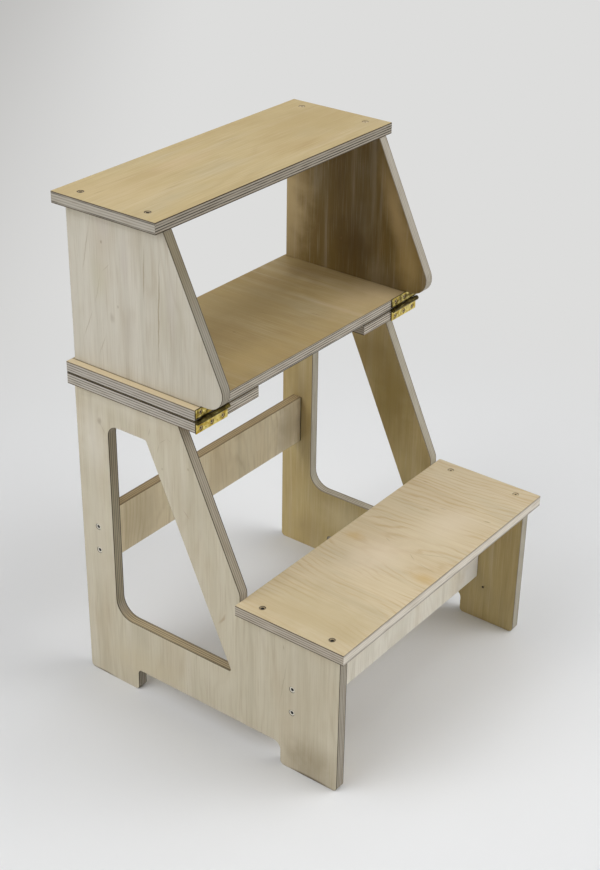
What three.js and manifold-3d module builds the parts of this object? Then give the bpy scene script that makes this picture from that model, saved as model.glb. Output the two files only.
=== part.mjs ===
// A folding step stool chair in birch plywood. It stands as three steps, and its upper box folds
// forward on two brass hinges to leave a low seat. Millimetres, +Z up, the front towards -Y.

import * as THREE from 'three';
import { mergeVertices } from 'three/addons/utils/BufferGeometryUtils.js';
import Module from 'manifold-3d';

const wasm = await Module();
wasm.setup();

// Plywood and clearances
const ply = 15;
const jointGap = 0.3;
const seam = 0.5;
const overrun = 5;
const arcSteps = 7;

// Overall sizes
const bodyWidth = 442.4;
const overallDepth = 436.8;
const frameHeight = 442.7;
const frontHeight = 206.2;

// Lower tread
const treadDepth = 164.6;
const treadOverhang = 11.5;
const treadEndOverhang = 9.8;
const treadScrewInset = 29.5;

// Shelf and the cleats under it
const shelfEndOverhang = 10.8;
const shelfSetback = 5.9;
const shelfScrewInset = 44;
const cleatLength = 120;
const cleatScrewInset = 31;
const frameInset = 1;

// Upper box, whose sloped sides reach forward of the shelf
const topDepth = 163.5;
const topEndOverhang = 12.8;
const topScrewInset = 29;
const sideInset = 4.4;
const noseReach = 46;
const noseRadius = 22;
const noseRelief = 1;

// Fold of the upper box over the tread
const foldClearance = 0.6;
const foldSideGap = 0.8;
const slopeSpread = THREE.MathUtils.degToRad(0.7);

// Side frames
const strutWidth = 64.5;
const postWidth = 53.5;
const sillHeight = 107.3;
const headHeight = 45;
const windowSillRadius = 26;
const windowHeadRadius = 16;
const windowFrontRadius = 3;
const rearFootLength = 88;
const frontFootLength = 88.5;
const notchHeight = 33.3;
const footRadius = 6;
const notchRearRadius = 6;
const notchFrontRadius = 11;
const frameNoseRadius = 20;

// Rails between the side frames
const railHeight = 74;
const rearRailSetback = 19.7;
const rearRailLow = 182;
const frontRailSetback = 63.7;
const frontRailLow = 70.6;
const railScrewSpacing = 36;

// Screws
const headSink = 0.4;
const spareHoleRadius = 1.5;
const spareHoleDepth = 8;
const spareHoleSetback = 52.7;
const spareHoleHeight = 55.9;
const woodScrew = {
  length: 40,
  headRadius: 3.8,
  rim: 0.5,
  headDepth: 3.3,
  shankRadius: 2,
  tipLength: 5,
  recess: 4.6,
  recessWidth: 1.1,
  recessDepth: 1.8,
  sides: 16,
};
const hingeScrew = {
  length: 12,
  headRadius: 2.7,
  rim: 0.2,
  headDepth: 1.5,
  shankRadius: 1.3,
  tipLength: 3,
  recess: 3.1,
  recessWidth: 0.8,
  recessDepth: 0.9,
  sides: 14,
};

// Hinges
const hingeLength = 58;
const leafWidth = 16;
const leafThickness = 1.5;
const knuckleRadius = 3.2;
const knuckleGap = 0.4;
const knuckleCount = 5;
const knuckleSides = 24;
const pinRadius = 1.5;
const pinSides = 16;
const pinReach = 1;
const leafScrewSpacing = 20.2;
const leafScrewHeight = 10.6;
const leafHoleRadius = 0.8;
const leafHoleShift = 11.4;
const leafHoleHeight = 13;

// Heights that follow, from the floor up
const treadBottom = frontHeight + jointGap;
const treadTop = treadBottom + ply;
const cleatBottom = frameHeight + jointGap;
const cleatTop = cleatBottom + ply;
const hingeHeight = cleatTop + seam / 2;
const shelfBottom = cleatTop + seam;
const shelfTop = shelfBottom + ply;
const upperBottom = shelfTop + jointGap;
const noseBottom = upperBottom + noseRelief;
const topTop = 2 * hingeHeight - treadTop - foldClearance;
const topBottom = topTop - ply;
const upperTop = topBottom - jointGap;

// Depths that follow, from the front back
const treadFront = -overallDepth / 2;
const treadBack = treadFront + treadDepth;
const frameFront = treadFront + treadOverhang;
const frameNose = treadBack + jointGap;
const topBack = overallDepth / 2;
const topFront = topBack - topDepth;
const hingeDepth = (topFront + frameNose - foldClearance) / 2;
const shelfFront = hingeDepth + knuckleRadius + jointGap;
const shelfBack = topBack - shelfSetback;
const frameBack = shelfBack - frameInset;
const upperBack = shelfBack - sideInset;

// Widths that follow
const treadLength = bodyWidth + 2 * treadEndOverhang;
const shelfLength = bodyWidth + 2 * shelfEndOverhang;
const topLength = bodyWidth + 2 * topEndOverhang;
const outerFace = bodyWidth / 2;
const innerFace = outerFace - ply;
const plyCentre = outerFace - ply / 2;

// The front slopes: the upper one runs from the top board's front down to the nose, and the
// frame's lies behind it once it is folded
const upperAngle = Math.atan2(topFront - shelfFront + noseReach, upperTop - noseBottom);
const frameAngle = upperAngle - slopeSpread;
const upperSlope = Math.tan(upperAngle);
const frameSlope = Math.tan(frameAngle);
const upperSlopeDepth = (height) => topFront - upperSlope * (upperTop - height);
const noseTangent = noseRadius / Math.tan((Math.PI / 2 - upperAngle) / 2);
const noseStart = noseBottom + noseTangent * Math.cos(upperAngle);
const meetHeight = 2 * hingeHeight - noseStart;
const meetDepth = 2 * hingeDepth - upperSlopeDepth(noseStart) + foldSideGap;
const frameSlopeDepth = (height) => meetDepth + frameSlope * (height - meetHeight);
const frameNoseHeight = meetHeight + (frameNose - meetDepth) / frameSlope;

// Finishes
const faceVeneer = new THREE.MeshStandardMaterial({ color: 0xc9b285, roughness: 0.62, metalness: 0 });
const sideVeneer = new THREE.MeshStandardMaterial({ color: 0xb9af98, roughness: 0.68, metalness: 0 });
const railVeneer = new THREE.MeshStandardMaterial({ color: 0xc2b697, roughness: 0.66, metalness: 0 });
const brass = new THREE.MeshStandardMaterial({ color: 0xc8a640, roughness: 0.3, metalness: 1 });
const steel = new THREE.MeshStandardMaterial({ color: 0x8e8c86, roughness: 0.35, metalness: 1 });

// A closed geometry as a solid, and a solid as a geometry
function solidOf(geometry) {
  const bare = geometry.clone();
  bare.deleteAttribute('normal');
  bare.deleteAttribute('uv');
  const merged = mergeVertices(bare);
  const mesh = new wasm.Mesh({
    numProp: 3,
    vertProperties: new Float32Array(merged.attributes.position.array),
    triVerts: new Uint32Array(merged.index.array),
  });
  return new wasm.Manifold(mesh);
}

function geometryOf(solid) {
  const mesh = solid.getMesh();
  const geometry = new THREE.BufferGeometry();
  geometry.setAttribute('position', new THREE.BufferAttribute(mesh.vertProperties, 3));
  geometry.setIndex(new THREE.BufferAttribute(mesh.triVerts, 1));
  geometry.computeVertexNormals();
  return geometry;
}

function cut(geometry, tools) {
  const whole = tools.reduce((left, tool) => left.subtract(solidOf(tool)), solidOf(geometry));
  return geometryOf(whole);
}

function join(geometries) {
  const [first, ...others] = geometries.map(solidOf);
  return geometryOf(others.reduce((sum, solid) => sum.add(solid), first));
}

function box(width, depth, height, centre) {
  const geometry = new THREE.BoxGeometry(width, depth, height);
  return geometry.translate(centre.x, centre.y, centre.z);
}

// A straight rod along X between two places
function rodAlongX(radius, sides, start, end) {
  const geometry = new THREE.CylinderGeometry(radius, radius, end - start, sides);
  geometry.rotateZ(Math.PI / 2);
  return geometry.translate((start + end) / 2, 0, 0);
}

// An outline whose corners are rounded, each by its own radius
const corner = (across, up, radius = 0) => ({ point: new THREE.Vector2(across, up), radius });

function arcPoints(here, before, after) {
  if (here.radius === 0) {
    return [here.point.clone()];
  }
  const toBefore = before.point.clone().sub(here.point).normalize();
  const toAfter = after.point.clone().sub(here.point).normalize();
  const halfAngle = toBefore.angleTo(toAfter) / 2;
  const reach = here.radius / Math.tan(halfAngle);
  const toCentre = toBefore.clone().add(toAfter).setLength(here.radius / Math.sin(halfAngle));
  const centre = here.point.clone().add(toCentre);
  const start = here.point.clone().addScaledVector(toBefore, reach).sub(centre);
  const end = here.point.clone().addScaledVector(toAfter, reach).sub(centre);
  const turn = Math.atan2(start.cross(end), start.dot(end));
  const steps = Array.from({ length: arcSteps + 1 }, (unused, step) => (turn * step) / arcSteps);
  return steps.map((angle) => start.clone().rotateAround(new THREE.Vector2(), angle).add(centre));
}

function outlinePoints(corners) {
  return corners.flatMap((here, index) => {
    const before = corners.at(index - 1);
    const after = corners[(index + 1) % corners.length];
    return arcPoints(here, before, after);
  });
}

// A board standing on edge: its outline is in depth and height, its thickness runs along X
function standingBoard(corners, holes = []) {
  const shape = new THREE.Shape(outlinePoints(corners));
  shape.holes = holes.map((hole) => new THREE.Path(outlinePoints(hole)));
  const geometry = new THREE.ExtrudeGeometry(shape, { depth: ply, bevelEnabled: false });
  const basis = new THREE.Matrix4().makeBasis(
    new THREE.Vector3(0, 1, 0),
    new THREE.Vector3(0, 0, 1),
    new THREE.Vector3(1, 0, 0),
  );
  geometry.applyMatrix4(basis);
  return geometry.translate(-ply / 2, 0, 0);
}

// A screw points down with the middle of its head's face at the origin, and so does its bore
function turned(profile, sides) {
  const points = profile.map(([radius, height]) => new THREE.Vector2(radius, height));
  const geometry = new THREE.LatheGeometry(points, sides);
  return geometry.rotateX(Math.PI / 2);
}

function screwGeometry(kind, hasRecess) {
  const body = turned(
    [
      [0, -kind.length],
      [kind.shankRadius, kind.tipLength - kind.length],
      [kind.shankRadius, -kind.headDepth],
      [kind.headRadius, -kind.rim],
      [kind.headRadius, 0],
      [0, 0],
    ],
    kind.sides,
  );
  if (!hasRecess) {
    return geometryOf(solidOf(body));
  }
  const middle = new THREE.Vector3();
  const height = 2 * kind.recessDepth;
  const slots = [
    box(kind.recess, kind.recessWidth, height, middle),
    box(kind.recessWidth, kind.recess, height, middle),
  ];
  return cut(body, slots);
}

function boreGeometry(kind) {
  const shank = kind.shankRadius + jointGap;
  const head = kind.headRadius + jointGap;
  const end = -kind.length - jointGap;
  const neck = -kind.headDepth - jointGap;
  const rim = -kind.rim - jointGap;
  const profile = [
    [0, end],
    [shank, end],
    [shank, neck],
    [head, rim],
    [head, overrun],
    [0, overrun],
  ];
  return turned(profile, kind.sides);
}

// A screw's place: the point where it enters a face, and the way it points
function screwAt(name, kind, entry, way, hasRecess = true) {
  const matrix = new THREE.Matrix4();
  const turn = new THREE.Quaternion().setFromUnitVectors(new THREE.Vector3(0, 0, -1), way);
  const seat = entry.clone().addScaledVector(way, headSink);
  matrix.compose(seat, turn, new THREE.Vector3(1, 1, 1));
  return { name, kind, matrix, hasRecess };
}

const bores = (screws) => screws.map(({ kind, matrix }) => boreGeometry(kind).applyMatrix4(matrix));

// A named mesh whose geometry is cut in the part's own frame and then set about its own middle
function piece(name, material, geometry, middle, screws = []) {
  const placed = geometry.clone().translate(middle.x, middle.y, middle.z);
  const bored = screws.length > 0 ? cut(placed, bores(screws)) : placed;
  const mesh = new THREE.Mesh(bored.translate(-middle.x, -middle.y, -middle.z), material);
  mesh.name = name;
  mesh.position.copy(middle);
  return mesh;
}

function screwMesh({ name, kind, matrix, hasRecess }) {
  const mesh = new THREE.Mesh(screwGeometry(kind, hasRecess), steel);
  mesh.name = name;
  matrix.decompose(mesh.position, mesh.quaternion, mesh.scale);
  return mesh;
}

const down = new THREE.Vector3(0, 0, -1);
const up = new THREE.Vector3(0, 0, 1);
const back = new THREE.Vector3(0, 1, 0);
const sides = [
  { side: 'left', sign: -1 },
  { side: 'right', sign: 1 },
];

// Two screws in line from front to back, through a board into the edge of each side panel
function edgeScrews(prefix, { front, rear, height }, way, hasRecess) {
  const ends = [
    { end: 'front', depth: front },
    { end: 'rear', depth: rear },
  ];
  return sides.flatMap(({ side, sign }) => ends.map(({ end, depth }) => {
    const entry = new THREE.Vector3(sign * plyCentre, depth, height);
    return screwAt(`${prefix}_screw_${side}_${end}`, woodScrew, entry, way, hasRecess);
  }));
}

// Two screws one above the other, through each side frame into the end of a rail
function railScrews(prefix, depth, middle) {
  const levels = [
    { level: 'upper', height: middle + railScrewSpacing / 2 },
    { level: 'lower', height: middle - railScrewSpacing / 2 },
  ];
  return sides.flatMap(({ side, sign }) => levels.map(({ level, height }) => {
    const entry = new THREE.Vector3(sign * outerFace, depth, height);
    const way = new THREE.Vector3(-sign, 0, 0);
    return screwAt(`${prefix}_screw_${side}_${level}`, woodScrew, entry, way);
  }));
}

const rearRailDepth = frameBack - rearRailSetback - ply / 2;
const rearRailMiddle = rearRailLow + railHeight / 2;
const frontRailDepth = frameFront + frontRailSetback + ply / 2;
const frontRailMiddle = frontRailLow + railHeight / 2;

// The ends of each pair, as far in from the board's or panel's edges as its screws are set
const inset = (front, rear, distance, height) =>
  ({ front: front + distance, rear: rear - distance, height });
const treadEnds = inset(treadFront, treadBack, treadScrewInset, treadTop);
const topEnds = inset(topFront, topBack, topScrewInset, topTop);
const cleatEnds = inset(frameSlopeDepth(frameHeight), frameBack, cleatScrewInset, cleatTop);
const shelfEnds = inset(shelfFront, shelfBack, shelfScrewInset, shelfBottom);

const treadScrews = edgeScrews('tread', treadEnds, down, true);
const topScrews = edgeScrews('top_board', topEnds, down, true);
const cleatScrews = edgeScrews('cleat', cleatEnds, down, false);
const shelfScrews = edgeScrews('shelf', shelfEnds, up, false);
const rearRailScrews = railScrews('rear_rail', rearRailDepth, rearRailMiddle);
const frontRailScrews = railScrews('front_rail', frontRailDepth, frontRailMiddle);

// Side frames
const frameCorners = [
  corner(frameBack, 0, footRadius),
  corner(frameBack, frameHeight),
  corner(frameSlopeDepth(frameHeight), frameHeight),
  corner(frameNose, frameNoseHeight, frameNoseRadius),
  corner(frameNose, frontHeight),
  corner(frameFront, frontHeight),
  corner(frameFront, 0, footRadius),
  corner(frameFront + frontFootLength, 0, footRadius),
  corner(frameFront + frontFootLength, notchHeight, notchFrontRadius),
  corner(frameBack - rearFootLength, notchHeight, notchRearRadius),
  corner(frameBack - rearFootLength, 0, footRadius),
];
const windowTop = frameHeight - headHeight;
const windowBack = frameBack - postWidth;
const windowFront = (height) => frameSlopeDepth(height) + strutWidth / Math.cos(frameAngle);
const windowCorners = [
  corner(windowBack, sillHeight, windowSillRadius),
  corner(windowFront(sillHeight), sillHeight, windowFrontRadius),
  corner(windowFront(windowTop), windowTop, windowFrontRadius),
  corner(windowBack, windowTop, windowHeadRadius),
];

function sideFrame({ side, sign }) {
  const screws = [...treadScrews, ...cleatScrews, ...rearRailScrews, ...frontRailScrews];
  const middle = new THREE.Vector3(sign * plyCentre, 0, 0);
  const own = screws.filter(({ name }) => name.includes(`_${side}_`));
  const board = standingBoard(frameCorners, [windowCorners]);
  return piece(`${side}_side_frame`, sideVeneer, board, middle, own);
}

// The right frame's inner face has one small spare hole under the front rail
function withSpareHole(mesh) {
  const reach = spareHoleDepth + overrun;
  const face = -ply / 2;
  const hole = rodAlongX(spareHoleRadius, pinSides, face - overrun, face - overrun + reach);
  hole.translate(0, frameFront + spareHoleSetback, spareHoleHeight);
  mesh.geometry = cut(mesh.geometry, [hole]);
  return mesh;
}

// Flat boards
function flatBoard(name, material, { length, front, rear, bottom, centre = 0 }, screws) {
  const geometry = new THREE.BoxGeometry(length, rear - front, ply);
  const middle = new THREE.Vector3(centre, (front + rear) / 2, bottom + ply / 2);
  return piece(name, material, geometry, middle, screws);
}

function rail(name, depth, height, screws) {
  const length = 2 * (innerFace - jointGap);
  const geometry = new THREE.BoxGeometry(length, ply, railHeight);
  return piece(name, railVeneer, geometry, new THREE.Vector3(0, depth, height), screws);
}

// Upper sides
const upperCorners = [
  corner(upperBack, upperBottom),
  corner(upperBack, upperTop),
  corner(topFront, upperTop),
  corner(upperSlopeDepth(noseBottom), noseBottom, noseRadius),
  corner(shelfFront, noseBottom),
  corner(shelfFront, upperBottom),
];

function upperSide({ side, sign }) {
  const middle = new THREE.Vector3(sign * plyCentre, 0, 0);
  const own = [...topScrews, ...shelfScrews].filter(({ name }) => name.includes(`_${side}_`));
  return piece(`${side}_upper_side`, sideVeneer, standingBoard(upperCorners), middle, own);
}

// Hinges: a leaf is made about the pin's axis, with its plate against the boards' front edges
const knuckleLength = (hingeLength - knuckleGap * (knuckleCount - 1)) / knuckleCount;
const knuckles = Array.from({ length: knuckleCount }, (unused, index) => {
  const start = index * (knuckleLength + knuckleGap) - hingeLength / 2;
  return { start, end: start + knuckleLength, isLower: index % 2 === 0 };
});

function leafGeometry(isLower) {
  const rise = isLower ? -1 : 1;
  const plateDepth = knuckleRadius - leafThickness / 2;
  const plateMiddle = new THREE.Vector3(0, plateDepth, (rise * leafWidth) / 2);
  const plate = box(hingeLength, leafThickness, leafWidth, plateMiddle);
  const notches = knuckles.filter((knuckle) => knuckle.isLower !== isLower).map(({ start, end }) => {
    const room = knuckleRadius + knuckleGap;
    const middle = new THREE.Vector3((start + end) / 2, plateDepth, 0);
    const width = end - start + 2 * knuckleGap;
    return box(width, leafThickness + overrun, 2 * room, middle);
  });
  const barrels = knuckles.filter((knuckle) => knuckle.isLower === isLower)
    .map(({ start, end }) => rodAlongX(knuckleRadius, knuckleSides, start, end));
  const bore = rodAlongX(pinRadius + jointGap, pinSides, -hingeLength, hingeLength);
  return cut(join([cut(plate, notches), ...barrels]), [bore]);
}

// A small hole through the lower leaf, between two of its screws
function leafHole() {
  const length = leafThickness + overrun;
  const hole = new THREE.CylinderGeometry(leafHoleRadius, leafHoleRadius, length, pinSides);
  return hole.translate(-leafHoleShift, knuckleRadius - leafThickness / 2, -leafHoleHeight);
}

function hinge({ side, sign }) {
  const middle = new THREE.Vector3(sign * (shelfLength - hingeLength) / 2, hingeDepth, hingeHeight);
  const faceDepth = hingeDepth + knuckleRadius - leafThickness;
  const places = [-1, 0, 1];
  const screwsOf = (leaf, rise) => places.map((shift, index) => {
    const across = middle.x + shift * leafScrewSpacing;
    const entry = new THREE.Vector3(across, faceDepth, hingeHeight + rise * leafScrewHeight);
    return screwAt(`${side}_hinge_${leaf}_screw_${index + 1}`, hingeScrew, entry, back);
  });
  const upperScrews = screwsOf('upper', 1);
  const lowerScrews = screwsOf('lower', -1);
  const holedLeaf = cut(leafGeometry(true), [leafHole()]);
  const lowerLeaf = piece(`${side}_hinge_lower_leaf`, brass, holedLeaf, middle, lowerScrews);
  const upperLeaf = piece(`${side}_hinge_upper_leaf`, brass, leafGeometry(false), middle, upperScrews);
  const halfPin = hingeLength / 2 + pinReach;
  const rod = rodAlongX(pinRadius, pinSides, -halfPin, halfPin);
  const pin = piece(`${side}_hinge_pin`, brass, rod, middle);
  return { upperLeaf, lowerLeaf, pin, upperScrews, lowerScrews };
}

const hinges = sides.map(hinge);
const hingeScrewsBelow = hinges.flatMap(({ lowerScrews }) => lowerScrews);
const hingeScrewsAbove = hinges.flatMap(({ upperScrews }) => upperScrews);

function cleat({ side, sign }) {
  const centre = (sign * (shelfLength - cleatLength)) / 2;
  const place = { length: cleatLength, front: shelfFront, rear: shelfBack, bottom: cleatBottom, centre };
  const own = [...cleatScrews, ...hingeScrewsBelow].filter(({ name }) => name.includes(side));
  return flatBoard(`${side}_cleat`, sideVeneer, place, own);
}

// The lower frame stands still
const treadPlace = { length: treadLength, front: treadFront, rear: treadBack, bottom: treadBottom };
const [leftFrame, rightFrame] = sides.map(sideFrame);
const frameScrews = [...treadScrews, ...cleatScrews, ...rearRailScrews, ...frontRailScrews];
const lowerFrame = new THREE.Group();
lowerFrame.add(leftFrame, withSpareHole(rightFrame));
lowerFrame.add(flatBoard('lower_tread', faceVeneer, treadPlace, treadScrews));
lowerFrame.add(rail('rear_rail', rearRailDepth, rearRailMiddle, rearRailScrews));
lowerFrame.add(rail('front_rail', frontRailDepth, frontRailMiddle, frontRailScrews));
lowerFrame.add(...sides.map(cleat));
lowerFrame.add(...hinges.flatMap(({ lowerLeaf, pin }) => [lowerLeaf, pin]));
lowerFrame.add(...[...frameScrews, ...hingeScrewsBelow].map(screwMesh));

// The upper box turns about the hinge pins
const shelfPlace = { length: shelfLength, front: shelfFront, rear: shelfBack, bottom: shelfBottom };
const topPlace = { length: topLength, front: topFront, rear: topBack, bottom: topBottom };
const shelfBores = [...shelfScrews, ...hingeScrewsAbove];
const upperBox = new THREE.Group();
upperBox.add(flatBoard('shelf_board', faceVeneer, shelfPlace, shelfBores));
upperBox.add(...sides.map(upperSide));
upperBox.add(flatBoard('top_board', faceVeneer, topPlace, topScrews));
upperBox.add(...hinges.map(({ upperLeaf }) => upperLeaf));
upperBox.add(...[...shelfBores, ...topScrews].map(screwMesh));

const stool = new THREE.Group();
stool.add(lowerFrame, upperBox);

export default stool;
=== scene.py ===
"""A folding step stool in birch plywood, dressed for its portrait.

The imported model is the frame. Its boards keep their shapes, get eased edges, and wear a plywood
finish that is worked out through the thickness of each sheet. Its screws and hinge pins are made
again, finer, from surfaces of two parameters. Lengths are metres in the frame's own axes, with +Z
up and the front towards -Y, except in the finishes, which count in millimetres.
"""

import logging
import math
from dataclasses import dataclass, field, replace
from enum import Enum
from functools import reduce

import bmesh
import bpy
import numpy as np
from mathutils import Matrix, Vector


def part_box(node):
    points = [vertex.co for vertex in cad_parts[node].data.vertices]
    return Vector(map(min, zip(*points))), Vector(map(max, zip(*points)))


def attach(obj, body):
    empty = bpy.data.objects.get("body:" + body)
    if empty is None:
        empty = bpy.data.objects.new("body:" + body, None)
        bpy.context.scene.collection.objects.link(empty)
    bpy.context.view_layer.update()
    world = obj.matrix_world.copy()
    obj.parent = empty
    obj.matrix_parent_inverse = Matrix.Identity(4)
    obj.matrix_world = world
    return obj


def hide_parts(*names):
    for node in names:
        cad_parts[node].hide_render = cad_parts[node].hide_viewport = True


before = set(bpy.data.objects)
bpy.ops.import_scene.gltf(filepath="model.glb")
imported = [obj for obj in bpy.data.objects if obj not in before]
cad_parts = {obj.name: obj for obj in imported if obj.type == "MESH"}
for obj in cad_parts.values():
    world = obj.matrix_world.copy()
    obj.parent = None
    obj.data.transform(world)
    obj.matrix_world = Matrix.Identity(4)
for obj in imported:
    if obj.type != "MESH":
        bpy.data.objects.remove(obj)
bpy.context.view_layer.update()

log = logging.getLogger("stool")

Colour = tuple[float, float, float, float]
Number = "Signal | float"
Spot = tuple[float, float]
MM = 0.001


def paint(red: float, green: float, blue: float) -> Colour:
    """Turns a colour as a screen shows it into linear light.

    Args:
        red: Red, from 0 to 255.
        green: Green, from 0 to 255.
        blue: Blue, from 0 to 255.

    Returns:
        The colour as four linear numbers, the last of them 1.
    """
    shares = (value / 255 for value in (red, green, blue))
    light = [s / 12.92 if s <= 0.04045 else ((s + 0.055) / 1.055) ** 2.4 for s in shares]
    return (light[0], light[1], light[2], 1.0)


class Metal(Enum):
    """The metals on the fittings, with the names of their materials."""

    ZINC = "zinc"
    DULL_ZINC = "dull_zinc"
    YELLOW_ZINC = "yellow_zinc"
    BRASS = "plated_brass"


class Axis(Enum):
    """One of the frame's three directions."""

    X = 0
    Y = 1
    Z = 2


class Signal:
    """A number that changes over a surface. Arithmetic on it adds Math nodes to its recipe."""

    def __init__(self, recipe: "Recipe", socket: bpy.types.NodeSocket) -> None:
        """Wraps one output socket."""
        self.recipe = recipe
        self.socket = socket

    def __add__(self, other: Number) -> "Signal":
        """Adds a number or another signal."""
        return self.recipe.maths("ADD", self, other)

    def __radd__(self, other: float) -> "Signal":
        """Adds this signal to a number."""
        return self.recipe.maths("ADD", other, self)

    def __sub__(self, other: Number) -> "Signal":
        """Takes away a number or another signal."""
        return self.recipe.maths("SUBTRACT", self, other)

    def __rsub__(self, other: float) -> "Signal":
        """Takes this signal away from a number."""
        return self.recipe.maths("SUBTRACT", other, self)

    def __mul__(self, other: Number) -> "Signal":
        """Multiplies by a number or another signal."""
        return self.recipe.maths("MULTIPLY", self, other)

    def __rmul__(self, other: float) -> "Signal":
        """Multiplies a number by this signal."""
        return self.recipe.maths("MULTIPLY", other, self)

    def __truediv__(self, other: Number) -> "Signal":
        """Divides by a number or another signal."""
        return self.recipe.maths("DIVIDE", self, other)

    def __pow__(self, other: float) -> "Signal":
        """Raises to a power."""
        return self.recipe.maths("POWER", self, other)

    def size(self) -> "Signal":
        """Drops the sign."""
        return self.recipe.maths("ABSOLUTE", self)

    def sine(self) -> "Signal":
        """Takes the sine of an angle in radians."""
        return self.recipe.maths("SINE", self)

    def root(self) -> "Signal":
        """Takes the square root."""
        return self.recipe.maths("SQRT", self)

    def most(self, other: Number) -> "Signal":
        """Keeps the larger of two numbers."""
        return self.recipe.maths("MAXIMUM", self, other)


class Recipe:
    """A material and the nodes that make it."""

    MIX_FACTOR = 0
    MIX_FIRST = 6
    MIX_SECOND = 7
    MIX_RESULT = 2
    SEED_SHIFTS = (3.17, 5.71, 1.93)
    NOISE_SPREAD = 2.6

    def __init__(self, name: str) -> None:
        """Starts an empty material.

        Args:
            name: The material's name.
        """
        self.material = bpy.data.materials.new(name)
        self.material.use_nodes = True
        self.tree = self.material.node_tree
        self.tree.nodes.clear()
        self.coordinates = self.node("ShaderNodeTexCoord")

    def node(
        self,
        kind: str,
        settings: dict[str, object] | None = None,
        sockets: dict[str | int, object] | None = None,
    ) -> bpy.types.Node:
        """Adds a node of any type.

        Args:
            kind: The node's type.
            settings: The node's own properties, set before its sockets.
            sockets: A value, a signal or a socket for each input, by name or place.

        Returns:
            The new node.
        """
        made = self.tree.nodes.new(kind)
        for name, value in (settings or {}).items():
            setattr(made, name, value)
        for name, value in (sockets or {}).items():
            source = value.socket if isinstance(value, Signal) else value
            if isinstance(source, bpy.types.NodeSocket):
                self.tree.links.new(source, made.inputs[name])
            else:
                made.inputs[name].default_value = source
        return made

    def maths(self, operation: str, *values: Number) -> Signal:
        """Adds a Math node.

        Args:
            operation: The node's operation.
            values: Its inputs in order.

        Returns:
            The result as a signal.
        """
        made = self.node("ShaderNodeMath", {"operation": operation}, dict(enumerate(values)))
        return Signal(self, made.outputs[0])

    def ease(
        self, value: Signal, start: float, end: float, low: float = 0.0, high: float = 1.0
    ) -> Signal:
        """Carries a signal from one number to another in an S-shaped step.

        Args:
            value: The signal that is measured.
            start: Where the step starts.
            end: Where it ends; it may lie below the start.
            low: The number before the step.
            high: The number after it.

        Returns:
            The step as a signal.
        """
        sockets = {"Value": value, "From Min": start, "From Max": end}
        sockets |= {"To Min": low, "To Max": high}
        made = self.node("ShaderNodeMapRange", {"interpolation_type": "SMOOTHSTEP"}, sockets)
        return Signal(self, made.outputs["Result"])

    def blend(
        self, share: Number, first: object, second: object, way: str = "MIX"
    ) -> bpy.types.NodeSocket:
        """Mixes two colours.

        Args:
            share: How much of the second colour shows, from 0 to 1.
            first: A colour or a colour socket.
            second: A colour or a colour socket.
            way: The Mix node's blend type.

        Returns:
            The mixed colour's socket.
        """
        settings = {"data_type": "RGBA", "blend_type": way}
        sockets = {self.MIX_FACTOR: share, self.MIX_FIRST: first, self.MIX_SECOND: second}
        return self.node("ShaderNodeMix", settings, sockets).outputs[self.MIX_RESULT]

    def noise(
        self,
        place: bpy.types.NodeSocket,
        sizes: tuple[float, float, float],
        seed: float,
        detail: float = 2.0,
    ) -> Signal:
        """Adds smooth noise whose lumps have a given size along each direction.

        Args:
            place: The position's socket, in millimetres.
            sizes: How far apart the lumps are along each direction, in millimetres.
            seed: Shifts the pattern.
            detail: How many finer octaves are laid over it.

        Returns:
            A signal from about -1 to 1, with 0 as its middle.
        """
        scale = tuple(1 / size for size in sizes)
        shift = tuple(seed * step for step in self.SEED_SHIFTS)
        moved = self.node(
            "ShaderNodeVectorMath", {"operation": "MULTIPLY_ADD"}, {0: place, 1: scale, 2: shift}
        )
        sockets = {"Vector": moved.outputs[0], "Scale": 1.0, "Detail": detail}
        made = self.node("ShaderNodeTexNoise", {"noise_dimensions": "3D"}, sockets)
        return (Signal(self, made.outputs["Fac"]) - 0.5) * self.NOISE_SPREAD

    def parts(self, vector: bpy.types.NodeSocket) -> tuple[Signal, Signal, Signal]:
        """Takes a vector apart.

        Args:
            vector: The vector's socket.

        Returns:
            Its three numbers as signals.
        """
        split = self.node("ShaderNodeSeparateXYZ", {}, {0: vector})
        return tuple(Signal(self, socket) for socket in split.outputs)

    def millimetres(self) -> bpy.types.NodeSocket:
        """Gives the place on the piece in millimetres.

        Returns:
            The vector's socket.
        """
        sockets = {0: self.coordinates.outputs["Object"], "Scale": 1 / MM}
        return self.node("ShaderNodeVectorMath", {"operation": "SCALE"}, sockets).outputs[0]

    def bump(self, height: Signal, strength: float, distance: float) -> bpy.types.NodeSocket:
        """Turns a relief into a normal.

        Args:
            height: The relief.
            strength: How strongly it shows.
            distance: The relief's own height in metres.

        Returns:
            The normal's socket.
        """
        sockets = {"Strength": strength, "Distance": distance, "Height": height}
        return self.node("ShaderNodeBump", {}, sockets).outputs[0]

    def finish(self, shader: bpy.types.Node) -> bpy.types.Material:
        """Joins a shader to the material's output and returns the material."""
        self.node("ShaderNodeOutputMaterial", {}, {"Surface": shader.outputs[0]})
        return self.material

    def plain(self, sockets: dict[str, object]) -> bpy.types.Material:
        """Finishes the material with one Principled shader and the sockets that it is given."""
        return self.finish(self.node("ShaderNodeBsdfPrincipled", {}, sockets))


@dataclass(frozen=True)
class Place:
    """A point of a board, as its material reads it.

    The spot holds millimetres along the grain and across it from the board's middle, and up from
    its low face. The share is how far through the sheet the point lies, from 0 to 1.
    """

    recipe: Recipe
    spot: bpy.types.NodeSocket
    along: Signal
    across: Signal
    share: Signal


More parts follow.
